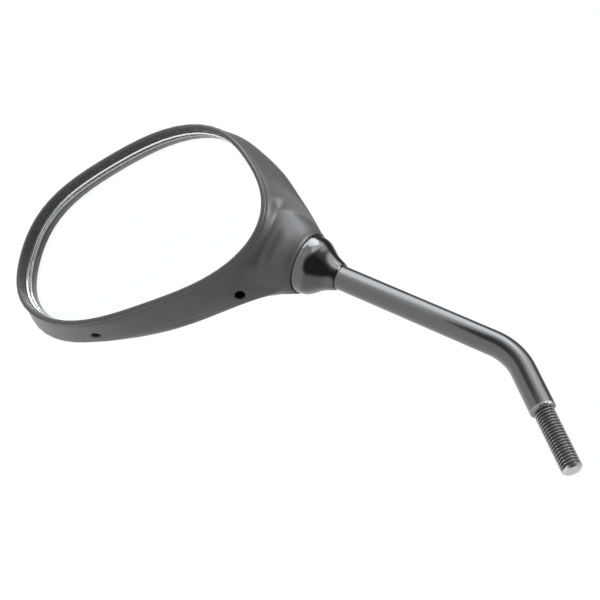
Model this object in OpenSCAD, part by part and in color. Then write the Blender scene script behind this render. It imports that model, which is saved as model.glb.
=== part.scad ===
// Motorcycle rear view mirror: teardrop head on a bent stem with a ball joint.
// Origin: centre of the flat seat at the lower end of the stem, where the thread begins.
// +Z runs up the stem's lower leg, -Z down the thread. +X is the way the stem leans.
// The head is held by a ball inside its neck, and is shown in its resting pose.

/* [Stem] */
// Diameter of the round stem
stem_d = 10; // [9:0.5:11]
// Straight run from the seat to the point where the two legs' axes meet
lower_leg = 27.9; // [24:0.1:36]
// Run from that point to the centre of the ball joint
upper_leg = 94.7; // [85:0.1:115]
// Angle between the two legs
stem_bend = 40; // [25:1:50]
// Centreline radius of the bend
bend_r = 25; // [20:1:30]
// Nominal diameter of the thread
stud_d = 8; // [6:1:8]
// Length of thread below the seat
stud_len = 25.6; // [18:0.1:32]

/* [Bell cover] */
// Outer radius of the cover's round end, which turns in the neck
bell_r = 12.7; // [12.6:0.05:12.75]
// Height of the cover above the joint's centre
bell_h = 15.8; // [15:0.1:18]

/* [Head outline] */
// Half of the egg's long axis, on the inner edge of the rim
head_half_long = 65.3; // [60:0.5:70]
// Half of the egg's short axis
head_half_short = 38; // [35:0.2:42]
// Turn of the egg's long axis away from the neck's axis
head_turn = 38.2; // [34:0.2:42]
// Distance from the joint to the egg's centre, along the neck
head_reach = 75.8; // [72:0.5:82]
// Sideways distance from the joint to the egg's centre
head_side = 15.9; // [12:0.1:20]
// How far one end of the egg is fuller than the other
egg_taper = 0.0238; // [0:0.0002:0.04]
// How far the egg leans to one side
egg_lean = 0.0352; // [0:0.0002:0.06]
// How far the egg's sides are filled out between its axes
egg_fullness = 0.0305; // [0:0.0005:0.04]

/* [Head section] */
// Distance from the joint's centre forward to the rim's front
face_h = 22; // [20:0.5:26]
// Width of the rim's rounded front band
rim_w = 2.3; // [1.8:0.1:3]
// Depth of the glass behind the rim
glass_depth = 5.2; // [4:0.1:6]
// Depth of the parting line behind the rim
part_depth = 16.5; // [15:0.5:18]
// Outward slope of the side wall between the rim and the parting line
side_flare = 17; // [15:0.5:19]
// How much that slope grows at the far end of the head
flare_swing = 12.5; // [6:0.5:14]
// Wall thickness of both shells
wall = 2.4; // [2:0.1:2.8]
// Outer radius of the neck's mouth
mouth_r = 13.5; // [13.45:0.05:13.8]
// How full the rear shell's back is
back_bulge = 24; // [20:1:30]

/* [Head pose] */
// Tilt of the mirror's face against the neck
neck_tilt = 8; // [4:1:12]
// Turn of the head about the stem's upper leg
head_roll = -114.5; // [-135:0.5:-95]

/* [Glass and plates] */
// Thickness of the glass
glass_t = 1.9; // [1.6:0.1:2]
// Thickness of the foam pad behind the glass
pad_t = 0.8; // [0.6:0.1:1]
// Thickness of the plate that carries the glass
carrier_t = 1.8; // [1.6:0.1:2]
// Radius of the two drain holes in the lower side wall
drain_r = 2; // [1.6:0.1:2.4]
// Length of each drain hole over its width
drain_stretch = 1.25; // [1:0.05:1.4]

/* [Ball joint] */
// Radius of the ball
ball_r = 7; // [6.8:0.1:7.1]
// Half angle of the socket's mouth, measured from the stem's axis
socket_mouth = 54; // [52:1:58]

/* [Hidden] */
$fn = 72;
stem_r = stem_d / 2;
stud_r = stud_d / 2;
fit_gap = 0.05;
seat_gap = 0.03;
coat_t = 0.1;
seal_w = 0.7;
seal_h = 0.75;
glass_inset = 0.25;
chamfer = 0.8;
bend_cut = bend_r * tan(stem_bend / 2);
collar_h = 1.6;
spigot_r = 3;
spigot_len = 12;
ball_bore_r = 3;
pivot = [upper_leg * sin(stem_bend), 0, lower_leg + upper_leg * cos(stem_bend)];

// Sample counts round the head and along its walls
far_n = 48;
side_n = 9;
mouth_n = 18;
near_n = 2 * side_n + mouth_n;
ring_n = far_n + near_n;
flank_n = 9;
inner_n = 6;
dome_n = 15;

// Angles on the egg where the side wall leaves it for the neck
turn_a = 95;
turn_b = 192;
mouth_a = 128;
mouth_b = 163;

// Depths in the section
shelf_depth = glass_depth + glass_t + coat_t + pad_t + carrier_t + 0.1;
shelf_t = 1.8;
shelf_w = 2.6;
lip_depth = 2.8;
flare_peak = 12;
flare_spread = 30;
flare_dip = 3;
flare_ease = 9;
mouth_wall = 0.55;
neck_wall = 1.7;
mouth_flare = 37;
mouth_flare_front = 34;
mouth_flare_back = 14;
dome_lean = 24;
dome_side_lean = -40;
dome_pull = 0.36;
edge_band = 90;
high_band = 60;
high_bow = 1.2;
mouth_low = 68;
mouth_high = -91;

// Small helpers
function mix(a, b, t) = a + (b - a) * t;
function clamp01(t) = max(0, min(1, t));
function ease(t) = let (c = clamp01(t)) c * c * (3 - 2 * c);
function unit(v) = v / norm(v);
function bez(p0, p1, p2, p3, s) =
  let (r = 1 - s) r * r * r * p0 + 3 * r * r * s * p1 + 3 * r * s * s * p2 + s * s * s * p3;

// The egg, in the plane of the face
egg_skew = 0.0093;
egg_trim_5 = [-0.003, 0.0044];
egg_trim_6 = [0.0034, 0.0043];
function egg_rho(t) =
  1 + egg_taper * cos(3 * t) + egg_lean * sin(3 * t)
  - egg_fullness * cos(4 * t) - egg_skew * sin(4 * t)
  + egg_trim_5 * [cos(5 * t), sin(5 * t)] + egg_trim_6 * [cos(6 * t), sin(6 * t)];
function egg_local(t) = egg_rho(t) * [head_half_long * cos(t), head_half_short * sin(t)];
function egg(t) =
  let (p = egg_local(t), c = cos(head_turn), s = sin(head_turn))
  [head_reach + c * p[0] - s * p[1], head_side + s * p[0] + c * p[1]];
function egg_out(t) = let (d = unit(egg(t + 0.5) - egg(t - 0.5))) [d[1], -d[0]];
function egg_off(t, o) = egg(t) + o * egg_out(t);
function egg_ring(o, n) = [for (i = [0:n - 1]) egg_off(360 * i / n, o)];
function on_wall(t, o, w) = let (p = egg_off(t, o)) [p[0], p[1], face_h - w];

// The neck's mouth, a circle square to the neck's axis. Angle 0 is to the front
out_axis = [-cos(neck_tilt), 0, -sin(neck_tilt)];
front_axis = [-sin(neck_tilt), 0, cos(neck_tilt)];
side_axis = [0, 1, 0];
function radial(b) = cos(b) * front_axis + sin(b) * side_axis;
function mouth_pt(b, r) = r * radial(b);
function mouth_dir(b) =
  let (
    side = abs(sin(b)),
    fl = mix(mouth_flare_front, mouth_flare, side * side)
  ) cos(fl) * out_axis - sin(fl) * radial(b);
function back_dir(b) = cos(mouth_flare_back) * out_axis - sin(mouth_flare_back) * radial(b);

// The parting line on the far part of the head
flank_reach = part_depth - lip_depth;
function swell(t, peak, spread) =
  let (d = t - peak, w = d - 360 * round(d / 360)) exp(-(w * w) / (spread * spread));
function flare_at(t) =
  side_flare + flare_swing * swell(t, flare_peak, flare_spread)
  - flare_dip * swell(t, 60, 18) + flare_dip * swell(t, turn_a, 18)
  - flare_ease * swell(t, 217, 24);
function part_pt(t) = on_wall(t, rim_w + flank_reach * tan(flare_at(t)), part_depth);
function flank_dir(t) =
  let (o = egg_out(t), f = flare_at(t)) [o[0] * sin(f), o[1] * sin(f), -cos(f)];

// Sample i: its angle on the egg, its stage and its place along that stage
function near_q(i) = i - far_n;
function sample_t(i) =
  i < far_n ? mix(turn_b, turn_a + 360, i / far_n)
  : near_q(i) < side_n ? mix(turn_a, mouth_a, near_q(i) / side_n)
  : near_q(i) < side_n + mouth_n ? mix(mouth_a, mouth_b, (near_q(i) - side_n) / mouth_n)
  : mix(mouth_b, turn_b, (near_q(i) - side_n - mouth_n) / side_n);
function mouth_b_of(i) = mix(mouth_low, mouth_high, (near_q(i) - side_n) / mouth_n);
function mouth_b_side(side) = side > 0 ? mouth_low : mouth_high;
function line_q(i) =
  near_q(i) < side_n ? near_q(i) / side_n
  : 1 - (near_q(i) - side_n - mouth_n) / side_n;
function line_side(i) = near_q(i) < side_n ? 1 : -1;
function line_bow(side) = [0, side > 0 ? 0 : -high_bow, 0];
function line_pt(side, q) =
  mix(part_pt(side > 0 ? turn_a : turn_b), mouth_pt(mouth_b_side(side), mouth_r), q)
  + 4 * q * (1 - q) * line_bow(side);
function stage(i) = i < far_n ? 0 : (near_q(i) < side_n || near_q(i) > side_n + mouth_n) ? 1 : 2;

// The front shell's lower edge, outside and inside
function edge_out(i) =
  stage(i) == 0 ? part_pt(sample_t(i))
  : stage(i) == 1 ? line_pt(line_side(i), line_q(i))
  : mouth_pt(mouth_b_of(i), mouth_r);
function line_in(side, q) =
  let (
    t = side > 0 ? turn_a : turn_b,
    o = egg_out(t),
    w0 = [-o[0], -o[1], 0] * wall,
    w1 = -mouth_wall * radial(mouth_b_side(side))
  ) line_pt(side, q) + mix(w0, w1, q);
function edge_in(i) =
  stage(i) == 0 ? let (t = sample_t(i), o = egg_out(t)) part_pt(t) - wall * [o[0], o[1], 0]
  : stage(i) == 1 ? line_in(line_side(i), line_q(i))
  : mouth_pt(mouth_b_of(i), mouth_r - mouth_wall);
function edge_dir(i) =
  let (t = sample_t(i), f = flank_dir(t))
  stage(i) == 0 ? f
  : stage(i) == 1 ? unit(mix(f, mouth_dir(mouth_b_side(line_side(i))), ease(line_q(i))))
  : mouth_dir(mouth_b_of(i));

// Outer face of the side wall: i round the head, s from the rim to the lower edge
function flank(i, s) =
  let (
    k = (i + ring_n) % ring_n,
    t = sample_t(k),
    p0 = on_wall(t, rim_w, lip_depth),
    p3 = edge_out(k),
    d = norm(p3 - p0) / 3,
    p1 = p0 + d * flank_dir(t),
    p2 = p3 - 1.25 * d * edge_dir(k)
  ) bez(p0, p1, p2, p3, s);
function flank_normal(i, s) =
  let (
    lo = max(0, s - 0.04),
    hi = min(1, s + 0.04),
    a = flank(i + 1, s) - flank(i - 1, s),
    b = flank(i, hi) - flank(i, lo)
  ) unit(cross(b, a));
inner_far = 0.8;
inner_near = 0.5;
function flank_inner(i, j) =
  j == 0 ? edge_in(i)
  : let (
      near = stage(i) == 2 ? 1 : stage(i) == 1 ? ease(line_q(i)) : 0,
      s = mix(1, mix(inner_far, inner_near, near), j / inner_n),
      th = mix(wall, mix(mouth_wall, neck_wall, ease(j / 3)), near)
    ) flank(i, s) - th * flank_normal(i, s);

// One closed loop of the front shell's section
function front_loop(i) =
  let (t = sample_t(i))
  concat(
    [
      on_wall(t, 0, 1.1),
      on_wall(t, 0.25, 0.35),
      on_wall(t, 0.8, 0),
      on_wall(t, rim_w - 0.8, 0),
      on_wall(t, rim_w - 0.25, 0.35),
      on_wall(t, rim_w, 1.1),
      on_wall(t, rim_w - 0.1, 1.9),
      on_wall(t, rim_w - 0.45, 2.3)
    ],
    [for (j = [0:flank_n]) flank(i, j / flank_n)],
    [for (j = [0:inner_n]) flank_inner(i, j)],
    [
      on_wall(t, -shelf_w, shelf_depth + shelf_t),
      on_wall(t, -shelf_w, shelf_depth),
      on_wall(t, 0, shelf_depth)
    ]
  );

// A closed band of section loops
function band_faces(n, m) = [
  for (i = [0:n - 1]) for (j = [0:m - 1])
    let (a = i * m + j, b = i * m + (j + 1) % m, c = ((i + 1) % n) * m + (j + 1) % m, d = ((i + 1) % n) * m + j)
    each [[a, c, b], [a, d, c]]
];

// Outer face of the rear shell: i from side to side round the far end, s from the parting line to the mouth
function dome_t(i) = mix(turn_b, turn_a + 360, i / far_n);
function dome_b(i) = mix(mouth_high, mouth_low - 360, i / far_n);
function dome_edge(i) =
  sqrt(clamp01(min((dome_t(i) - turn_b) / high_band, (turn_a + 360 - dome_t(i)) / edge_band)));
function dome(i, s) =
  let (
    k = max(0, min(far_n, i)),
    t = dome_t(k),
    b = dome_b(k),
    e = dome_edge(k),
    o = egg_out(t),
    p0 = part_pt(t),
    p3 = mouth_pt(b, mouth_r),
    d = norm(p3 - p0),
    lean = mix(dome_side_lean, dome_lean, e),
    in_dir = [-o[0] * sin(lean), -o[1] * sin(lean), -cos(lean)],
    bow = 4 / 3 * line_bow(k < far_n / 2 ? -1 : 1),
    p1 = mix(mix(p0, p3, 1 / 3) + bow, p0 + min(d / 3, back_bulge) * in_dir, e),
    p2 = mix(mix(p0, p3, 2 / 3) + bow, p3 - dome_pull * d * back_dir(b), e)
  ) bez(p0, p1, p2, p3, s);
function dome_normal(i, s) =
  let (
    a = dome(i + 1, s) - dome(i - 1, s),
    b = dome(i, min(1, s + 0.03)) - dome(i, max(0, s - 0.03))
  ) unit(cross(a, b));
function dome_inner(i, s) =
  let (
    side = i < far_n / 2 ? -1 : 1,
    e = ease(min(i, far_n - i) / 5),
    q = ease(s * 6),
    t = dome_t(i),
    o = egg_out(t),
    th = mix(wall, mouth_wall, ease(s * 5 - 4)),
    n = dome_normal(i, s),
    start = -wall * [o[0], o[1], 0],
    finish = -mouth_wall * radial(dome_b(i)),
    inward = mix(mix(start, th * n, q), finish, ease(s * 8 - 7)),
    border = line_in(side, s) - line_pt(side, s)
  ) dome(i, s) + mix(border, inward, e);

// Rotation of the head's frame into place
module head_place() {
  translate(pivot)
    rotate([0, stem_bend, 0])
      rotate([0, 0, head_roll])
        rotate([0, neck_tilt - 90, 0])
          children();
}

// Frame of the joint inside the head: +Z runs out of the neck towards the stem
module neck_place() {
  head_place()
    rotate([0, -90 - neck_tilt, 0])
      children();
}

// Frame of the stem's upper leg at the joint: +Z runs from the ball down the stem
module leg_place() {
  translate(pivot)
    rotate([0, stem_bend + 180, 0])
      children();
}

// A spherical shell between two radii and two polar angles from +Z
module ball_shell(r_in, r_out, from, to) {
  steps = 24;
  rotate_extrude()
    polygon(concat(
      [for (k = [0:steps]) let (a = mix(from, to, k / steps)) r_out * [sin(a), cos(a)]],
      [for (k = [0:steps]) let (a = mix(to, from, k / steps)) r_in * [sin(a), cos(a)]]
    ));
}

// Stem and mounting end
module threaded_stud() {
  color("silver")
    rotate_extrude()
      polygon([
        [0, -stud_len], [stud_r - chamfer, -stud_len], [stud_r, -stud_len + chamfer],
        [stud_r, 0], [spigot_r, 0], [spigot_r, spigot_len], [0, spigot_len]
      ]);
}

module stem_collar() {
  color("gainsboro")
    rotate_extrude()
      polygon([
        [spigot_r + seat_gap, 0], [stem_r - chamfer, 0], [stem_r, chamfer],
        [stem_r, collar_h], [spigot_r + seat_gap, collar_h]
      ]);
}

module stem_rod() {
  overlap_angle = 1;
  bend_skin = 0.05;
  pin_start = upper_leg - ball_r - 1;
  color("dimgray")
    difference() {
      union() {
        translate([0, 0, collar_h])
          cylinder(r = stem_r, h = lower_leg - bend_cut - collar_h);
        translate([bend_r, 0, lower_leg - bend_cut])
          rotate([90, 0, 0])
            rotate([0, 0, 180 - stem_bend - overlap_angle])
              rotate_extrude(angle = stem_bend + 2 * overlap_angle)
                translate([bend_r, 0])
                  circle(r = stem_r - bend_skin);
        translate([0, 0, lower_leg])
          rotate([0, stem_bend, 0])
            translate([0, 0, bend_cut])
              cylinder(r = stem_r, h = pin_start - bend_cut);
        translate([0, 0, lower_leg])
          rotate([0, stem_bend, 0])
            translate([0, 0, pin_start - 1])
              cylinder(r = ball_bore_r, h = ball_r + 2);
      }
      cylinder(r = spigot_r + seat_gap, h = spigot_len + 0.5);
    }
}

module bell_cover() {
  grip_r = stem_r + fit_gap;
  skin = 1.3;
  shoulder = 57;
  skirt = 94;
  steps = 14;
  shoulder_p = bell_r * [sin(shoulder), cos(shoulder)];
  end_p = [stem_r + 0.85, bell_h];
  color("black")
    leg_place()
      rotate_extrude()
        polygon(concat(
          [for (k = [0:steps]) let (a = mix(skirt, shoulder, k / steps)) bell_r * [sin(a), cos(a)]],
          [
            shoulder_p + [-0.75, 0.45],
            shoulder_p + [-1.35, 1.0],
            [mix(end_p[0], shoulder_p[0], 0.52), mix(shoulder_p[1], bell_h, 0.24)],
            [mix(end_p[0], shoulder_p[0], 0.38), mix(shoulder_p[1], bell_h, 0.38)],
            [mix(end_p[0], shoulder_p[0], 0.24), mix(shoulder_p[1], bell_h, 0.56)],
            [mix(end_p[0], shoulder_p[0], 0.11), mix(shoulder_p[1], bell_h, 0.78)],
            [end_p[0] - 0.05, bell_h - 0.5],
            [end_p[0] - 0.3, bell_h],
            [grip_r, bell_h],
            [grip_r, bell_h - 4.2]
          ],
          [for (k = [0:steps]) let (a = mix(38, skirt, k / steps)) (bell_r - skin) * [sin(a), cos(a)]]
        ));
}

module ball() {
  color("slategray")
    leg_place()
      difference() {
        sphere(r = ball_r);
        translate([0, 0, -fit_gap])
          cylinder(r = ball_bore_r + seat_gap, h = ball_r + 1);
      }
}

// Joint inside the neck
liner_in = ball_r + 0.06;
liner_out = ball_r + 0.8;
shell_in = liner_out + 0.06;
shell_out = shell_in + 0.55;
cup_in = shell_out + 0.08;
cup_out = cup_in + 1.4;
shoulder_r = cup_out + 1.3;
shoulder_z = -5.2;
shoulder_t = 1.3;
tube_end = -13.2;

module ball_liner() {
  color("ivory")
    leg_place()
      ball_shell(liner_in, liner_out, socket_mouth - 6, 126);
}

module friction_shell() {
  color("lightsteelblue")
    leg_place()
      ball_shell(shell_in, shell_out, socket_mouth - 3, 123);
}

// Socket tube: a round mouth that keeps the ball in, and a shoulder that stops on the bulkhead
module socket_cup() {
  steps = 14;
  outer_end = 100;
  color("darkslategray")
    neck_place()
      rotate_extrude()
        polygon(concat(
          [for (k = [0:steps]) let (a = mix(socket_mouth, outer_end, k / steps)) cup_out * [sin(a), cos(a)]],
          [
            [cup_out * sin(outer_end), shoulder_z], [shoulder_r, shoulder_z],
            [shoulder_r, shoulder_z - shoulder_t], [cup_out, shoulder_z - shoulder_t],
            [cup_out, tube_end], [cup_in, tube_end]
          ],
          [for (k = [0:steps]) let (a = mix(90, socket_mouth, k / steps)) cup_in * [sin(a), cos(a)]]
        ));
}

// Cup that presses on the back of the joint, guided in the socket tube
cup_back = 8.6;
module pressure_cup() {
  guide_r = cup_in - fit_gap;
  from = 115;
  to = 148;
  color("gray")
    neck_place()
      rotate_extrude()
        polygon(concat(
          [for (k = [0:12]) let (a = mix(from, to, k / 12)) cup_in * [sin(a), cos(a)]],
          [[cup_in * sin(to), -cup_back], [guide_r, -cup_back], [guide_r, cup_in * cos(from)]]
        ));
}

// Spring washers that load the pressure cup, cupped one against the other
spring_t = 0.6;
spring_rise = 0.4;
spring_gap = 0.02;
spring_stack = 2 * (spring_t + spring_rise) + 3 * spring_gap;
module disc_springs() {
  r_in = ball_r * 0.6;
  r_out = cup_in - 0.35;
  color("lightgray")
    neck_place()
      for (side = [0, 1])
        translate([0, 0, -cup_back - spring_gap - side * (2 * (spring_t + spring_rise) + spring_gap)])
          mirror([0, 0, side])
            rotate_extrude()
              polygon([
                [r_in, -spring_t], [r_out, -spring_t - spring_rise],
                [r_out, -spring_rise], [r_in, 0]
              ]);
}

// Nut that loads the springs, with two holes for a pin spanner
adjust_z = -cup_back - spring_stack;
adjust_t = 2.2;
module adjusting_nut() {
  pin_r = 0.9;
  color("goldenrod")
    neck_place()
      difference() {
        translate([0, 0, adjust_z - adjust_t])
          cylinder(r = cup_in - fit_gap, h = adjust_t);
        translate([0, 0, adjust_z - adjust_t - 1])
          cylinder(r = ball_r * 0.45, h = adjust_t + 2);
        for (side = [-1, 1])
          translate([0, side * ball_r * 0.8, adjust_z - adjust_t - 1])
            cylinder(r = pin_r, h = adjust_t + 2);
      }
}

// Bulkhead across the neck, trapped between the two shells
bulkhead_z = shoulder_z - shoulder_t - 0.02;
bulkhead_t = 2.6;
bulkhead_r = mouth_r - 1.2;
bulkhead_shift = 1.2;
module neck_bulkhead() {
  color("slategray")
    neck_place()
      difference() {
        translate([-bulkhead_shift, 0, bulkhead_z - bulkhead_t])
          cylinder(r = bulkhead_r, h = bulkhead_t);
        translate([0, 0, bulkhead_z - bulkhead_t - 1])
          cylinder(r = cup_out + fit_gap, h = bulkhead_t + 2);
      }
}

// Ring nut that clamps the socket tube to the bulkhead
module socket_nut() {
  nut_t = 2.2;
  notch_n = 4;
  notch_w = 2;
  nut_r = shoulder_r - 0.3;
  color("goldenrod")
    neck_place()
      difference() {
        translate([0, 0, bulkhead_z - bulkhead_t - 0.02 - nut_t])
          cylinder(r = nut_r, h = nut_t);
        translate([0, 0, bulkhead_z - bulkhead_t - nut_t - 1])
          cylinder(r = cup_out + fit_gap, h = nut_t + 2);
        for (k = [0:notch_n - 1])
          rotate([0, 0, 45 + 360 * k / notch_n])
            translate([nut_r - 0.7, -notch_w / 2, bulkhead_z - bulkhead_t - nut_t - 1])
              cube([notch_w, notch_w, nut_t + 2]);
      }
}

// The two shells
drain_spots = [[41.57, 0.665], [54.83, 0.625]];
module front_shell() {
  pts = [for (i = [0:ring_n - 1]) each front_loop(i)];
  m = len(front_loop(0));
  color("dimgray")
    head_place()
      difference() {
        polyhedron(points = pts, faces = band_faces(ring_n, m), convexity = 8);
        for (q = drain_spots)
          let (p = flank(q[0], q[1]), n = flank_normal(q[0], q[1]))
          translate(p)
            rotate([0, acos(n[2]), atan2(n[1], n[0])])
              translate([0, 0, -wall * 2])
                scale([1, drain_stretch, 1])
                  cylinder(r = drain_r, h = wall * 3);
      }
}

module rear_shell() {
  m = dome_n + 1;
  outer = [for (i = [0:far_n]) for (j = [0:dome_n]) dome(i, j / dome_n)];
  inner = [for (i = [0:far_n]) for (j = [0:dome_n]) dome_inner(i, j / dome_n)];
  n0 = len(outer);
  sheets = [
    for (i = [0:far_n - 1]) for (j = [0:dome_n - 1])
      let (a = i * m + j, b = a + 1, c = a + m + 1, d = a + m)
      each [[a, d, b], [b, d, c], [n0 + a, n0 + b, n0 + d], [n0 + b, n0 + c, n0 + d]]
  ];
  ends = [
    for (i = [0:far_n - 1])
      let (a = i * m, d = a + m, e = a + dome_n, f = d + dome_n)
      each [[a, n0 + a, n0 + d], [a, n0 + d, d], [e, n0 + f, n0 + e], [e, f, n0 + f]]
  ];
  sides = [
    for (j = [0:dome_n - 1])
      let (a = j, b = j + 1, c = far_n * m + j, d = c + 1)
      each [[a, b, n0 + b], [a, n0 + b, n0 + a], [c, n0 + d, d], [c, n0 + c, n0 + d]]
  ];
  color("dimgray")
    head_place()
      translate([0, 0, -0.06])
        polyhedron(points = concat(outer, inner), faces = concat(sheets, ends, sides), convexity = 8);
}

// Glass and the plates behind it
module plate(inset, depth, t) {
  translate([0, 0, face_h - depth - t])
    linear_extrude(height = t)
      polygon(egg_ring(-inset, 96));
}

module mirror_glass() {
  color("lightblue")
    head_place()
      plate(glass_inset, glass_depth, glass_t);
}

module mirror_coating() {
  color("white")
    head_place()
      plate(glass_inset + 0.3, glass_depth + glass_t, coat_t);
}

module foam_pad() {
  color("darkgray")
    head_place()
      plate(4, glass_depth + glass_t + coat_t, pad_t);
}

module carrier_plate() {
  color("gray")
    head_place()
      plate(glass_inset, glass_depth + glass_t + coat_t + pad_t, carrier_t);
}

module edge_seal() {
  n = 72;
  section = [[-0.1, 0], [-seal_w, 0], [-seal_w + 0.12, 0.35], [-seal_w + 0.4, 0.62], [-0.1, seal_h]];
  pts = [for (i = [0:n - 1]) for (q = section) on_wall(360 * i / n, q[0], glass_depth - 0.01 - q[1])];
  color("black")
    head_place()
      polyhedron(points = pts, faces = band_faces(n, len(section)), convexity = 6);
}

threaded_stud();
stem_collar();
stem_rod();
bell_cover();
ball();
ball_liner();
friction_shell();
socket_cup();
pressure_cup();
disc_springs();
adjusting_nut();
neck_bulkhead();
socket_nut();
front_shell();
rear_shell();
mirror_glass();
mirror_coating();
foam_pad();
carrier_plate();
edge_seal();
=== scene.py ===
"""Dressing, light and camera of a motorcycle mirror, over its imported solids. Lengths are metres."""

import math

import bpy
from mathutils import Matrix, Vector


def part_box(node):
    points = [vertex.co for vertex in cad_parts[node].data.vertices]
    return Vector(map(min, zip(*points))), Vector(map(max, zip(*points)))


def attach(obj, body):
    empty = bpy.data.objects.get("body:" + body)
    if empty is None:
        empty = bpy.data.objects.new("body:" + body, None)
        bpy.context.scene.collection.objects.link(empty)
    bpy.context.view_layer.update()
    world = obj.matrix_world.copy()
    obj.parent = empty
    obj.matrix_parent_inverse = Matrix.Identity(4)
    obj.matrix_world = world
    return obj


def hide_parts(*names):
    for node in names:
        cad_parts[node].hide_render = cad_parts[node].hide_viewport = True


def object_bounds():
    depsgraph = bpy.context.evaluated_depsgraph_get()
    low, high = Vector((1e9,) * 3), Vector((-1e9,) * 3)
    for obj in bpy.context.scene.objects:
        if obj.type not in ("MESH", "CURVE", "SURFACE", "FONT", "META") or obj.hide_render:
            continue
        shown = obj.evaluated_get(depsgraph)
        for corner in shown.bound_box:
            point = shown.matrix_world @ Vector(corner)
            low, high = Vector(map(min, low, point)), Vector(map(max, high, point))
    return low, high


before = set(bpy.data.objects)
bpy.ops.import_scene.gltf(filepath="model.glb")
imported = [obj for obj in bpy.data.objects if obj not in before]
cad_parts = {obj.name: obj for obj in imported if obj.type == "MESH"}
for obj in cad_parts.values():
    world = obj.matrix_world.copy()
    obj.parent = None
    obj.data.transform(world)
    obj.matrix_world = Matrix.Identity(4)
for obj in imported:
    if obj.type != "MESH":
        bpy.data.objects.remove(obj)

cad_low, cad_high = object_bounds()
MM = 0.001


# Shader values that can be added and multiplied


class Field:
    """A number that varies over a surface or over the surroundings, used in plain expressions."""

    def __init__(self, recipe, socket):
        self.recipe = recipe
        self.socket = socket

    def _with(self, operation, first, second):
        node = self.recipe.node("ShaderNodeMath", {"operation": operation}, {0: first, 1: second})
        return Field(self.recipe, node.outputs[0])

    def __add__(self, other):
        return self._with("ADD", self, other)

    def __radd__(self, other):
        return self._with("ADD", other, self)

    def __sub__(self, other):
        return self._with("SUBTRACT", self, other)

    def __rsub__(self, other):
        return self._with("SUBTRACT", other, self)

    def __mul__(self, other):
        return self._with("MULTIPLY", self, other)

    def __rmul__(self, other):
        return self._with("MULTIPLY", other, self)

    def __truediv__(self, other):
        return self._with("DIVIDE", self, other)

    def __pow__(self, other):
        return self._with("POWER", self, other)

    def at_least(self, other):
        return self._with("MAXIMUM", self, other)

    def at_most(self, other):
        return self._with("MINIMUM", self, other)

    def falling(self, reach):
        """1 at nought, falling off like a bell curve as wide as reach."""
        return self._with("POWER", math.e, (self / reach) ** 2.0 * -1.0)

    def ramp(self, start, end):
        """0 before start, 1 after end, smooth between them."""
        node = self.recipe.node(
            "ShaderNodeMapRange",
            {"interpolation_type": "SMOOTHSTEP"},
            {"Value": self, "From Min": start, "From Max": end},
        )
        return Field(self.recipe, node.outputs["Result"])


class Recipe:
    """The nodes of one shader."""

    def __init__(self, tree):
        self.tree = tree

    def node(self, kind, settings=None, inputs=None):
        """Adds a node, its settings first and then the values or links of its sockets."""
        node = self.tree.nodes.new(kind)
        for key, value in (settings or {}).items():
            setattr(node, key, value)
        for key, value in (inputs or {}).items():
            self.feed(node.inputs[key], value)
        return node

    def feed(self, socket, value):
        """Links a field or socket to this socket, or sets it to a plain value."""
        if isinstance(value, Field):
            value = value.socket
        if isinstance(value, bpy.types.NodeSocket):
            self.tree.links.new(value, socket)
        else:
            socket.default_value = value


class Finish(Recipe):
    """One procedural material round a Principled shader."""

    def __init__(self, name):
        self.material = bpy.data.materials.new(name)
        self.material.use_nodes = True
        super().__init__(self.material.node_tree)
        self.shader = self.tree.nodes["Principled BSDF"]
        self.place = self.node("ShaderNodeTexCoord").outputs["Object"]

    def set(self, **values):
        """Feeds the shader's sockets, named as here but with capitals and spaces."""
        for key, value in values.items():
            name = key.replace("_", " ").title().replace("Ior", "IOR")
            self.feed(self.shader.inputs[name], value)

    def noise(self, grain, detail=3.0, rough=0.5):
        """Cloudy variation, 0 to 1, with features about grain metres wide."""
        node = self.node(
            "ShaderNodeTexNoise",
            {"noise_dimensions": "3D"},
            {"Vector": self.place, "Scale": 1 / grain, "Detail": detail, "Roughness": rough},
        )
        return Field(self, node.outputs["Fac"])

    def cells(self, grain):
        """Rounded cells about grain metres wide, 0 at each middle."""
        node = self.node("ShaderNodeTexVoronoi", {}, {"Vector": self.place, "Scale": 1 / grain})
        return Field(self, node.outputs["Distance"])

    def axes(self):
        """The surface's x, y and z, in metres."""
        node = self.node("ShaderNodeSeparateXYZ", {}, {"Vector": self.place})
        return [Field(self, out) for out in node.outputs]

    def blend(self, share, low, high):
        """A colour from low to high as share goes from 0 to 1. Either end may be another blend."""
        low, high = (end if isinstance(end, bpy.types.NodeSocket) else (*end, 1.0) for end in (low, high))
        node = self.node("ShaderNodeMix", {"data_type": "RGBA"}, {0: share, 6: low, 7: high})
        return node.outputs[2]

    def bump(self, height, depth=1.0):
        """Raises the surface by height times depth, in metres."""
        node = self.node("ShaderNodeBump", {}, {"Height": height, "Distance": depth, "Strength": 1.0})
        self.feed(self.shader.inputs["Normal"], node.outputs["Normal"])


def grey(level):
    return (level, level, level)


def distance_from(finish, start, end=None):
    """How far the surface lies from a point, or from the straight line between two points."""
    spot = finish.axes()
    start = Vector(start)
    if end is None:
        steps = [axis - value for axis, value in zip(spot, start)]
    else:
        run = Vector(end) - start
        per_length = run / run.length_squared
        share = sum((axis - value) * way for axis, value, way in zip(spot, start, per_length))
        share = share.at_least(0.0).at_most(1.0)
        steps = [axis - value - share * way for axis, value, way in zip(spot, start, run)]
    return (steps[0] * steps[0] + steps[1] * steps[1] + steps[2] * steps[2]) ** 0.5


CLOUD_SIZE = 14 * MM
PLASTIC_GRAIN = 0.35 * MM
PLASTIC_DEPTH = 0.02 * MM
CELLS_TO_GRAIN = 1.6


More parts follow.
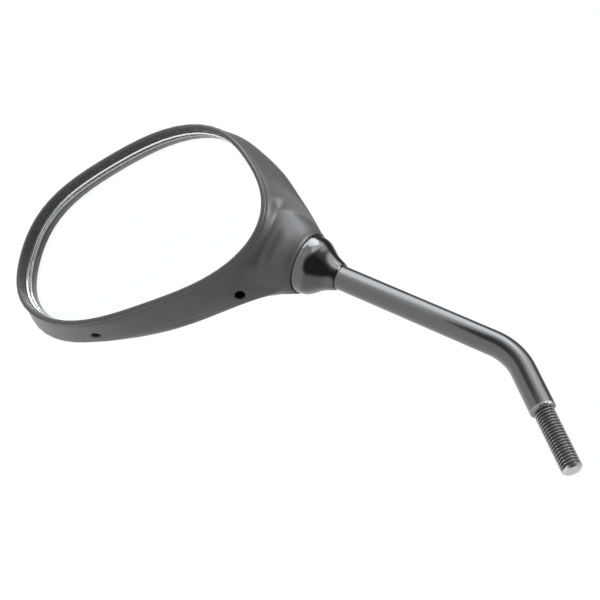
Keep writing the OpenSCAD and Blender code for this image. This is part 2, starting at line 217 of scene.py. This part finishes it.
def moulded_plastic(name, dark, light, roughness, grain=PLASTIC_GRAIN, depth=PLASTIC_DEPTH):
    """Matte moulded plastic with a fine spark-eroded grain."""
    finish = Finish(name)
    cloud = finish.noise(CLOUD_SIZE, 2.0)
    speck = finish.noise(grain, 4.0, 0.6)
    finish.set(
        base_color=finish.blend(cloud * 0.5 + speck * 0.5, dark, light),
        roughness=roughness - 0.06 + speck * 0.12,
    )
    finish.bump(speck + finish.cells(grain * CELLS_TO_GRAIN) * 0.5, depth)
    return finish


# The soft hollow beside the rim where the head runs into its neck, as points along its bottom
HOLLOW = [Vector(p) * MM for p in ((64.5, 17.2, 118.5), (72.0, 14.4, 108.2), (78.4, 9.8, 102.6))]
HOLLOW_DEPTH = 1.3 * MM
HOLLOW_REACH = 4.2 * MM

# The two drain holes, at the middles of their depths
HOLE_MIDDLES = [Vector(p) * MM for p in ((158.0, -28.1, 125.5), (90.5, -3.3, 102.0))]
# How far round each hole's middle the colour is painted darker as shade, and how sharply that painted shade
# ends
HOLE_SHADE_REACH = 2.8 * MM
HOLE_SHADE_START = 0.85
HOLE_SHADE_SLOPE = 8.0


def housing_plastic(name, dark, light, hole_shade_colour, roughness):
    """Grained plastic of the head, hollowed at its neck, with painted shade darkening the inside of the
    drain holes.
    """
    finish = Finish(name)
    cloud = finish.noise(CLOUD_SIZE, 2.0)
    speck = finish.noise(PLASTIC_GRAIN, 4.0, 0.6)
    # Painted shade: the colour darkens inside the two drain holes, fading out round each hole's middle
    off_hole_shade = 1.0
    for middle in HOLE_MIDDLES:
        edge = (distance_from(finish, middle) / HOLE_SHADE_REACH - HOLE_SHADE_START) * HOLE_SHADE_SLOPE
        off_hole_shade = edge.at_least(0.0).at_most(1.0) * off_hole_shade
    plastic = finish.blend(cloud * 0.5 + speck * 0.5, dark, light)
    finish.set(
        base_color=finish.blend(off_hole_shade, hole_shade_colour, plastic),
        roughness=roughness - 0.06 + speck * 0.12,
    )
    first = distance_from(finish, HOLLOW[0], HOLLOW[1])
    second = distance_from(finish, HOLLOW[1], HOLLOW[2])
    hollow = first.at_most(second).falling(HOLLOW_REACH)
    grain = (speck + finish.cells(PLASTIC_GRAIN * CELLS_TO_GRAIN) * 0.5) * PLASTIC_DEPTH
    finish.bump(grain - hollow * HOLLOW_DEPTH)
    return finish


def metal(name, dark, light, roughness, grain, depth):
    """Turned steel or brass, with faint clouds and fine marks."""
    finish = Finish(name)
    cloud = finish.noise(3 * MM, 3.0)
    marks = finish.noise(grain, 5.0, 0.65)
    finish.set(
        base_color=finish.blend(cloud * 0.6 + marks * 0.4, dark, light),
        metallic=1.0,
        roughness=roughness - 0.05 + cloud * 0.1,
    )
    finish.bump(marks, depth)
    return finish


PLAIN_END_FADE = 0.2 * MM


def plated_thread(name, crest_r, root_r, plain_end):
    """Zinc plate on an upright thread: bright on the crests and the plain end, with painted shade darkening
    the grooves.
    """
    finish = Finish(name)
    across, deep, upright = finish.axes()
    height = ((across * across + deep * deep) ** 0.5 - root_r) / (crest_r - root_r)
    at_end = (plain_end - upright) / PLAIN_END_FADE
    crest_vs_groove_shade = (height.at_least(0.0).at_most(1.0) ** 1.4).at_least(at_end).at_most(1.0)
    marks = finish.noise(0.4 * MM, 4.0, 0.6)
    finish.set(
        # Painted shade: the colour falls from bright zinc on the crests to near black in the grooves
        base_color=finish.blend(crest_vs_groove_shade * 0.9 + marks * 0.1, grey(0.05), grey(0.62)),
        metallic=1.0,
        roughness=0.42 - crest_vs_groove_shade * 0.12 + marks * 0.06,
    )
    finish.bump(marks, 0.002 * MM)
    return finish


def lacquer(name, dark, light, roughness, ior, ripple, depth):
    """Gloss or satin coating with a slight orange peel."""
    finish = Finish(name)
    peel = finish.noise(ripple, 2.0)
    dust = finish.noise(6 * MM, 3.0, 0.6)
    finish.set(
        base_color=finish.blend(dust, dark, light),
        roughness=roughness - 0.015 + dust * 0.03,
        ior=ior,
    )
    finish.bump(peel, depth)
    return finish


def silvered_back():
    """The reflecting layer behind the glass."""
    finish = Finish("silvered_layer")
    cloud = finish.noise(20 * MM, 2.0)
    finish.set(
        base_color=finish.blend(cloud, grey(0.985), grey(0.995)),
        metallic=1.0,
        roughness=0.01 + cloud * 0.01,
    )
    return finish


def polished_glass():
    """Clear float glass with the faintest unevenness."""
    finish = Finish("clear_float_glass")
    cloud = finish.noise(30 * MM, 2.0)
    finish.set(
        base_color=finish.blend(cloud, (0.99, 1.0, 0.995), (0.998, 1.0, 1.0)),
        roughness=cloud * 0.004,
        transmission_weight=1.0,
        ior=1.5,
    )
    return finish


def sealing_bead():
    """Silvery bead with small ripples across its length."""
    finish = Finish("pale_sealing_bead")
    ripple = finish.noise(1.1 * MM, 2.0, 0.4)
    finish.set(
        base_color=finish.blend(ripple, grey(0.7), grey(0.95)),
        metallic=1.0,
        roughness=0.12 + ripple * 0.1,
    )
    finish.bump(ripple, 0.06 * MM)
    return finish


finishes = {
    # The head's plastic, with painted shade in its drain holes
    "housing": housing_plastic(
        "housing_grain_plastic", grey(0.05), grey(0.078), hole_shade_colour=grey(0.032), roughness=0.4
    ),
    "joint_plastic": moulded_plastic("moulded_joint_plastic", grey(0.02), grey(0.04), roughness=0.5),
    "liner": moulded_plastic("natural_nylon", (0.62, 0.6, 0.52), (0.72, 0.7, 0.62), roughness=0.45),
    "foam": moulded_plastic(
        "open_cell_foam", grey(0.01), grey(0.03), roughness=0.9, grain=0.5 * MM, depth=0.1 * MM
    ),
    # The thread's zinc, with painted shade in its grooves
    "zinc": plated_thread("zinc_plated_thread", crest_r=3.95 * MM, root_r=3.35 * MM, plain_end=-24.7 * MM),
    "bare": metal(
        "turned_steel", grey(0.2), grey(0.3), roughness=0.42, grain=1.5 * MM, depth=0.0004 * MM
    ),
    "spring": metal(
        "spring_steel", grey(0.3), grey(0.45), roughness=0.35, grain=0.3 * MM, depth=0.004 * MM
    ),
    "brass": metal(
        "turned_brass",
        (0.6, 0.44, 0.18),
        (0.75, 0.58, 0.28),
        roughness=0.3,
        grain=0.3 * MM,
        depth=0.004 * MM,
    ),
    "stem": lacquer(
        "satin_black_paint",
        grey(0.012),
        grey(0.02),
        roughness=0.27,
        ior=2.0,
        ripple=3 * MM,
        depth=0.002 * MM,
    ),
    "bell": lacquer(
        "gloss_black_lacquer",
        grey(0.006),
        grey(0.01),
        roughness=0.1,
        ior=2.0,
        ripple=5 * MM,
        depth=0.001 * MM,
    ),
    "silver": silvered_back(),
    "glass": polished_glass(),
    "bead": sealing_bead(),
}


# Making and dressing pieces


def pick(piece):
    """Selects this piece alone."""
    bpy.ops.object.select_all(action="DESELECT")
    bpy.context.view_layer.objects.active = piece
    piece.select_set(True)


def work_on(piece):
    """Selects this piece alone and opens it in edit mode."""
    pick(piece)
    bpy.ops.object.mode_set(mode="EDIT")


def leave_work():
    bpy.ops.object.mode_set(mode="OBJECT")


def close_up(threshold):
    """Merges the corners that touch, turns every face outward and leaves edit mode."""
    bpy.ops.mesh.select_all(action="SELECT")
    bpy.ops.mesh.remove_doubles(threshold=threshold)
    bpy.ops.mesh.normals_make_consistent(inside=False)
    leave_work()


def push_out(step):
    """Extrudes what is selected by this step."""
    bpy.ops.mesh.extrude_region_move(TRANSFORM_OT_translate={"value": tuple(step)})


def trace(points):
    """A line drawn from point to point, out of one corner, and left open in edit mode."""
    bpy.ops.object.select_all(action="DESELECT")
    bpy.ops.mesh.primitive_plane_add(size=MM)
    piece = bpy.context.object
    work_on(piece)
    bpy.ops.mesh.select_all(action="SELECT")
    bpy.ops.mesh.merge(type="CENTER")
    bpy.ops.transform.translate(value=tuple(points[0]))
    for here, there in zip(points, points[1:]):
        push_out(there - here)
    return piece


def close_line(piece):
    """Joins the two ends of a traced line."""
    leave_work()
    last = len(piece.data.vertices) - 1
    for vertex in piece.data.vertices:
        vertex.select = vertex.index in (0, last)
    for edge in piece.data.edges:
        edge.select = False
    work_on(piece)
    bpy.ops.mesh.edge_face_add()


def settle(piece, name, body, finish, replaced=(), smooth=None):
    """Puts a piece's place into its mesh, dresses it and hangs it on its body."""
    piece.name = name
    piece.data.name = name
    pick(piece)
    bpy.ops.object.transform_apply(location=True, rotation=True, scale=True)
    if smooth is not None:
        bpy.ops.object.shade_smooth_by_angle(angle=math.radians(smooth))
    piece.data.materials.clear()
    piece.data.materials.append(finishes[finish].material)
    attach(piece, body)
    if replaced:
        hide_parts(*replaced)


COPY_MERGE = 0.002 * MM


def smooth_copy(node, name, body, finish, smooth, forward=0.0):
    """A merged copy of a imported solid, shaded smooth up to an angle, or moved forward along its face."""
    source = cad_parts[node]
    piece = bpy.data.objects.new(name, source.data.copy())
    bpy.context.scene.collection.objects.link(piece)
    work_on(piece)
    bpy.ops.mesh.select_all(action="SELECT")
    bpy.ops.mesh.remove_doubles(threshold=COPY_MERGE)
    leave_work()
    if forward:
        face = max(piece.data.polygons, key=lambda polygon: (polygon.normal.y > 0.5, polygon.area))
        piece.data.transform(Matrix.Translation(face.normal * forward))
    settle(piece, name, body, finish, (node,), smooth)


HEAD = "head"
STEM = "stem"

# The coating stands this far into the glass, so that the two faces don't lie in one plane
COATING_BITE = 0.03 * MM

smooth_copy("front_shell", "front_shell_moulding", HEAD, "housing", 40)
smooth_copy("rear_shell", "rear_shell_moulding", HEAD, "housing", 40)
smooth_copy("stem_collar", "stem_collar_turned", STEM, "bare", 35)
smooth_copy("edge_seal", "edge_seal_bead", HEAD, "bead", 60)
smooth_copy("mirror_glass", "mirror_glass_pane", HEAD, "glass", None)
smooth_copy("mirror_coating", "mirror_coating_layer", HEAD, "silver", None, COATING_BITE)


# The stem, bent from one round bar, and the turned bell round its end

STEM_R = 5.0 * MM
BEND = math.radians(40)
BEND_R = 25.0 * MM
LOWER_LEG = 27.9 * MM
UPPER_LEG = 94.7 * MM
BALL_R = 7.0 * MM
PIN_R = 3.0 * MM
BALL_OVERLAP = 1.0 * MM
COLLAR_H = 1.6 * MM
ROUND_STEPS = 96
BEND_STEPS = 32
MERGE = 0.005 * MM
bend_cut = BEND_R * math.tan(BEND / 2)
corner = Vector((0, 0, LOWER_LEG))
leg = Vector((math.sin(BEND), 0, math.cos(BEND)))
pivot = corner + leg * UPPER_LEG


def bend_stem():
    """A disc pushed out along the lower leg, spun round the bend and pushed out along the upper leg."""
    bpy.ops.object.select_all(action="DESELECT")
    bpy.ops.mesh.primitive_circle_add(
        vertices=ROUND_STEPS, radius=STEM_R, fill_type="NGON", location=(0, 0, COLLAR_H)
    )
    stem = bpy.context.object
    bpy.ops.object.transform_apply(location=True, rotation=True, scale=True)
    work_on(stem)
    bpy.ops.mesh.select_all(action="SELECT")
    push_out((0, 0, LOWER_LEG - bend_cut - COLLAR_H))
    bpy.ops.mesh.spin(
        steps=BEND_STEPS,
        angle=BEND,
        center=(BEND_R, 0, LOWER_LEG - bend_cut),
        axis=(0, -1, 0),
        use_auto_merge=False,
    )
    push_out(leg * (UPPER_LEG - BALL_R - BALL_OVERLAP - bend_cut))
    bpy.ops.mesh.inset(thickness=STEM_R - PIN_R)
    push_out(leg * BALL_R)
    close_up(MERGE)
    settle(stem, "stem_rod_bent", STEM, "stem", ("stem_rod",), 35)


BELL_R = 12.7 * MM
BELL_H = 15.8 * MM
BELL_SKIN = 1.3 * MM
BELL_STEPS = 120
SKIRT_STEPS = 6
LIP_STEPS = 5
INNER_STEPS = 14
BELL_GRIP = STEM_R + 0.05 * MM
BELL_GRIP_DEPTH = 4.2 * MM
BELL_END_R = STEM_R + 0.85 * MM
BELL_EDGE = 0.3 * MM

# Angles from the upper leg's line, about the joint's centre
BELL_SKIRT = math.radians(94)
BELL_LIP_START = math.radians(82)
BELL_CORE_START = math.radians(38)


def through(points, steps):
    """A smooth line through these points, with the given number of steps between two of them."""
    line = []
    for i in range(len(points) - 1):
        before = points[max(i - 1, 0)]
        a, b = points[i], points[i + 1]
        after = points[min(i + 2, len(points) - 1)]
        for k in range(steps):
            t = k / steps
            line.append(
                0.5 * (2 * a + (b - before) * t + (2 * before - 5 * a + 4 * b - after) * t**2
                       + (3 * a - before - 3 * b + after) * t**3)
            )
    return line + [points[-1]]


# Radius and height of the bell's rounded lip and its flare, in millimetres from the joint's centre
BELL_LIP = ((12.45, 2.4), (12.25, 3.6), (11.9, 4.7), (11.42, 5.7), (10.74, 6.7), (9.9, 7.9),
            (8.9, 9.2), (8.0, 10.6), (7.1, 12.4), (6.4, 14.2), (5.9, 15.5))


def arc(radius, start, end, steps):
    """Points of a round stretch from one angle to another."""
    angles = [start + (end - start) * k / steps for k in range(steps + 1)]
    return [radius * Vector((math.sin(angle), math.cos(angle))) for angle in angles]


def turn_bell():
    """The bell's section, spun round the upper leg."""
    skirt = arc(BELL_R, BELL_SKIRT, BELL_LIP_START, SKIRT_STEPS)
    outer = through(skirt[:-1] + [Vector(spot) * MM for spot in BELL_LIP], LIP_STEPS)
    end_ring = [
        Vector((BELL_END_R - BELL_EDGE, BELL_H)),
        Vector((BELL_GRIP, BELL_H)),
        Vector((BELL_GRIP, BELL_H - BELL_GRIP_DEPTH)),
    ]
    inner = arc(BELL_R - BELL_SKIN, BELL_CORE_START, BELL_SKIRT, INNER_STEPS)
    side = Vector((0, 1, 0)).cross(-leg).normalized()
    bell = trace([pivot + side * p.x - leg * p.y for p in outer + end_ring + inner])
    close_line(bell)
    bpy.ops.mesh.select_all(action="SELECT")
    bpy.ops.mesh.spin(
        steps=BELL_STEPS, angle=2 * math.pi, center=tuple(pivot), axis=tuple(leg), use_auto_merge=True
    )
    close_up(MERGE)
    settle(bell, "bell_cover_turned", STEM, "bell", ("bell_cover",), 35)


bend_stem()
turn_bell()


# The thread, cut to its real form on the stud

THREAD_PITCH = 1.25 * MM
THREAD_R = 4.0 * MM
THREAD_DEPTH = 0.75 * MM
CREST_FLAT = 0.16 * MM
ROOT_FLAT = 0.3 * MM
END_CHAMFER = 0.9 * MM
END_R = 3.1 * MM
SHANK_IN_COLLAR = 1.0 * MM
TRIM_TO_THREAD = 0.995
END_TO_THREAD = 0.985
STEPS_A_TURN = 48
WINDING_MERGE = 0.002 * MM
THREAD_MERGE = 0.003 * MM
stud_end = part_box("threaded_stud")[0].z
near_end = stud_end + 0.01 * MM


def cut_thread():
    """A right hand thread made by winding one groove and crest, cut off flat at both ends."""
    flank = (THREAD_PITCH - CREST_FLAT - ROOT_FLAT) / 2
    root = THREAD_R - THREAD_DEPTH
    heights = (0, ROOT_FLAT, ROOT_FLAT + flank, THREAD_PITCH - flank, THREAD_PITCH)
    radii = (root, root, THREAD_R, THREAD_R, root)
    start = stud_end - 2 * THREAD_PITCH
    turns = math.ceil(-start / THREAD_PITCH) + 2
    thread = trace([Vector((radius, 0, start + height)) for radius, height in zip(radii, heights)])
    leave_work()
    winding = thread.modifiers.new("winding", "SCREW")
    winding.axis = "Z"
    winding.angle = 2 * math.pi
    winding.screw_offset = THREAD_PITCH
    winding.iterations = turns
    winding.steps = winding.render_steps = STEPS_A_TURN
    winding.use_merge_vertices = True
    winding.merge_threshold = WINDING_MERGE
    bpy.ops.object.modifier_apply(modifier=winding.name)
    work_on(thread)
    bpy.ops.mesh.select_all(action="SELECT")
    bpy.ops.mesh.remove_doubles(threshold=THREAD_MERGE)
    for height, normal in ((0, (0, 0, 1)), (stud_end, (0, 0, -1))):
        bpy.ops.mesh.select_all(action="SELECT")
        bpy.ops.mesh.bisect(plane_co=(0, 0, height), plane_no=normal, use_fill=True, clear_outer=True)
    bpy.ops.mesh.select_all(action="SELECT")
    bpy.ops.mesh.normals_make_consistent(inside=False)
    leave_work()
    return thread


def chamfered_bar():
    """The plain bar that the thread is trimmed to, with its end edge broken."""
    bpy.ops.object.select_all(action="DESELECT")
    length = SHANK_IN_COLLAR - stud_end
    bpy.ops.mesh.primitive_cylinder_add(
        vertices=ROUND_STEPS,
        radius=THREAD_R * TRIM_TO_THREAD,
        depth=length,
        location=(0, 0, SHANK_IN_COLLAR - length / 2),
    )
    bar = bpy.context.object
    bpy.ops.object.transform_apply(location=True, rotation=True, scale=True)
    work_on(bar)
    bpy.ops.mesh.select_all(action="DESELECT")
    leave_work()
    for edge in bar.data.edges:
        edge.select = all(bar.data.vertices[v].co.z < near_end for v in edge.vertices)
    for face in bar.data.polygons:
        face.select = all(bar.data.vertices[v].co.z < near_end for v in face.vertices)
    work_on(bar)
    bpy.ops.mesh.bevel(offset=END_CHAMFER, segments=1, affect="EDGES")
    leave_work()
    return bar


def make_stud():
    """The wound thread trimmed to the chamfered bar, with a plain end over the last groove."""
    thread = cut_thread()
    bar = chamfered_bar()
    pick(thread)
    trim = thread.modifiers.new("trim", "BOOLEAN")
    trim.operation = "INTERSECT"
    trim.object = bar
    trim.solver = "EXACT"
    bpy.ops.object.modifier_apply(modifier=trim.name)
    bpy.data.objects.remove(bar, do_unlink=True)
    bpy.ops.object.select_all(action="DESELECT")
    bpy.ops.mesh.primitive_cone_add(
        vertices=ROUND_STEPS,
        radius1=END_R,
        radius2=THREAD_R * END_TO_THREAD,
        depth=END_CHAMFER,
        location=(0, 0, stud_end + END_CHAMFER / 2),
    )
    thread.select_set(True)
    bpy.context.view_layer.objects.active = thread
    bpy.ops.object.join()
    settle(thread, "stud_thread", STEM, "zinc", ("threaded_stud",), 25)


make_stud()


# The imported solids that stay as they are

PACKED_FINISHES = {
    "ball": "bare",
    "ball_liner": "liner",
    "friction_shell": "spring",
    "socket_cup": "joint_plastic",
    "pressure_cup": "joint_plastic",
    "disc_springs": "spring",
    "adjusting_nut": "brass",
    "neck_bulkhead": "joint_plastic",
    "socket_nut": "brass",
    "foam_pad": "foam",
    "carrier_plate": "joint_plastic",
}
for node, finish in PACKED_FINISHES.items():
    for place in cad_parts[node].material_slots:
        place.material = finishes[finish].material


# Camera, at the place that the photograph was taken from

LENS_FOCUS = 72.9
SENSOR = 36.0
camera_place = Vector((81.377, 400.122, -202.520)) * MM
view_right = Vector((-0.94212, -0.17618, -0.28524))
view_up = Vector((-0.33437, 0.55576, 0.76114))
view_forward = Vector((-0.02443, -0.81246, 0.58250))
TARGET_DISTANCE = 0.49
target = camera_place + view_forward * TARGET_DISTANCE

camera_data = bpy.data.cameras.new("studio_camera")
camera_data.lens = LENS_FOCUS
camera_data.sensor_width = SENSOR
camera_data.clip_start = 20 * MM
camera = bpy.data.objects.new("studio_camera", camera_data)
bpy.context.scene.collection.objects.link(camera)
turn = Matrix((view_right, view_up, -view_forward)).transposed()
camera.matrix_world = Matrix.Translation(camera_place) @ turn.to_4x4()
bpy.context.scene.camera = camera


def seen_from(right, up, near, middle=target):
    """A place along the camera's own directions, from the middle of the mirror or from another spot."""
    return middle + view_right * right + view_up * up - view_forward * near


def aim(obj, place, at):
    """Puts a lamp or card in its place, facing a point."""
    obj.location = place
    obj.rotation_mode = "QUATERNION"
    obj.rotation_quaternion = (at - place).to_track_quat("-Z", "Y")


def softbox(name, place, width, height, power, colour=(1, 1, 1)):
    """A flat rectangular lamp that faces the middle of the mirror."""
    data = bpy.data.lights.new(name, "AREA")
    data.shape = "RECTANGLE"
    data.size = width
    data.size_y = height
    data.energy = power
    data.color = colour
    lamp = bpy.data.objects.new(name, data)
    bpy.context.scene.collection.objects.link(lamp)
    aim(lamp, place, target)


def card_cloth():
    """Black cloth with no sheen."""
    finish = Finish("black_card_cloth")
    weave = finish.noise(1 * MM)
    finish.set(
        base_color=finish.blend(weave, grey(0.002), grey(0.006)),
        roughness=0.9 + weave * 0.1,
        specular_ior_level=0.0,
    )
    return finish


def dark_card(name, place, width, height, at):
    """A black card that shows only in glossy reflections, as beside a real product."""
    bpy.ops.object.select_all(action="DESELECT")
    bpy.ops.mesh.primitive_plane_add(size=1)
    card = bpy.context.object
    card.name = name
    card.scale = (width, height, 1)
    aim(card, place, at)
    card.data.materials.append(card_cloth().material)
    card.visible_camera = False
    card.visible_diffuse = False
    card.visible_shadow = False
    card.visible_transmission = False


softbox(
    "key_softbox",
    seen_from(right=-0.04, up=0.6, near=0.03),
    width=0.7,
    height=0.38,
    power=3.1,
    colour=(0.95, 0.965, 1.0),
)
softbox("side_softbox", seen_from(right=0.56, up=0.17, near=0.19), width=0.26, height=0.26, power=2.9)
leg_spot = Vector((2.0, 0.0, 13.0)) * MM
card_spot = seen_from(right=-27 * MM, up=40 * MM, near=23 * MM, middle=leg_spot)
dark_card("leg_card", card_spot, width=0.04, height=0.036, at=leg_spot)

FLOOR_DROP = 0.45
FLOOR_SIZE = 6.0


def pale_floor():
    """The floor, far below, which gives camera views from above their ground."""
    finish = Finish("pale_floor")
    cloud = finish.noise(200 * MM)
    finish.set(base_color=finish.blend(cloud, grey(0.86), grey(0.9)), roughness=0.8 + cloud * 0.1)
    bpy.ops.object.select_all(action="DESELECT")
    bpy.ops.mesh.primitive_plane_add(size=FLOOR_SIZE, location=(0, 0, cad_low.z - FLOOR_DROP))
    floor = bpy.context.object
    floor.name = "floor"
    floor.data.materials.append(finish.material)
    floor.visible_glossy = False


pale_floor()


class Studio(Recipe):
    """The surroundings, given by the way that each ray runs."""

    def __init__(self, name):
        self.world = bpy.data.worlds.new(name)
        self.world.use_nodes = True
        super().__init__(self.world.node_tree)
        self.way = self.node("ShaderNodeTexCoord").outputs["Generated"]
        self.rays = self.node("ShaderNodeLightPath").outputs

    def towards(self, axis):
        """How far a ray runs along this direction, from -1 to 1."""
        node = self.node("ShaderNodeVectorMath", {"operation": "DOT_PRODUCT"}, {0: self.way, 1: tuple(axis)})
        return Field(self, node.outputs["Value"])

    def seen_by(self, kind):
        """1 for this kind of ray, and 0 for the others."""
        return Field(self, self.rays[f"Is {kind} Ray"])

    def shine(self, level):
        """Lights the world with white at this level."""
        background = self.tree.nodes["Background"]
        self.feed(background.inputs["Color"], (1, 1, 1, 1))
        self.feed(background.inputs["Strength"], level)
        bpy.context.scene.world = self.world


def shaded(level, share, loss):
    """Darkens a level by loss where share is 1."""
    return level * (1.0 - share * loss)


LENS_WAY = (view_right * 0.276 - view_up * 0.139 - view_forward * 0.951).normalized()
LENS_SHADE_EDGE = math.cos(math.radians(50))
LENS_SHADE_CORE = math.cos(math.radians(28))
ROOM_LEVEL = 0.8
LENS_LOSS = 0.94
RIGHT_LOSS = 0.7
CEILING_LOSS = 0.85
LEFT_GAIN = 0.45
UPPER_GLOW = 0.5
UPPER_RIGHT_GLOW = 2.3
BACKDROP_GLOW = 0.2


def room_in_gloss(studio):
    """What glossy rays meet: pale walls, a dark camera corner, a dim right side and a glow above."""
    to_right = studio.towards(view_right)
    to_top = studio.towards(view_up)
    to_eye = studio.towards(-view_forward)
    lens_corner = studio.towards(LENS_WAY).ramp(LENS_SHADE_EDGE, LENS_SHADE_CORE)
    right_side = to_right.ramp(0.2, 0.7) * to_top.ramp(-0.5, 0.1)
    ceiling_behind = to_eye.ramp(-0.2, -0.5) * to_top.ramp(0.2, 0.5)
    left_wall = to_right.ramp(-0.1, -0.5)
    above = to_top.ramp(0.25, 0.8) * to_right.ramp(0.3, -0.1) * to_eye.ramp(0.0, 0.3)
    upper_right = to_right.ramp(0.05, 0.25) * to_top.ramp(0.55, 0.75) * to_eye.ramp(-0.4, -0.1)
    backdrop = to_eye.ramp(-0.3, -0.7) * to_top.ramp(0.1, -0.2)
    room = shaded(ROOM_LEVEL, lens_corner, LENS_LOSS)
    room = shaded(room, right_side, RIGHT_LOSS)
    room = shaded(room, ceiling_behind, CEILING_LOSS)
    room = room * (1.0 + left_wall * LEFT_GAIN)
    return room + above * UPPER_GLOW + upper_right * UPPER_RIGHT_GLOW + backdrop * BACKDROP_GLOW


# White to the camera and through the glass, the room in the gloss, and an even fill elsewhere
DIFFUSE_FILL = 0.6
studio = Studio("studio_world")
clear_view = studio.seen_by("Camera").at_least(studio.seen_by("Transmission"))
unseen = 1.0 - clear_view
glossy = studio.seen_by("Glossy")
room = room_in_gloss(studio)
studio.shine(clear_view + unseen * glossy * room + unseen * (1.0 - glossy) * DIFFUSE_FILL)

bpy.context.scene.view_settings.view_transform = "Standard"
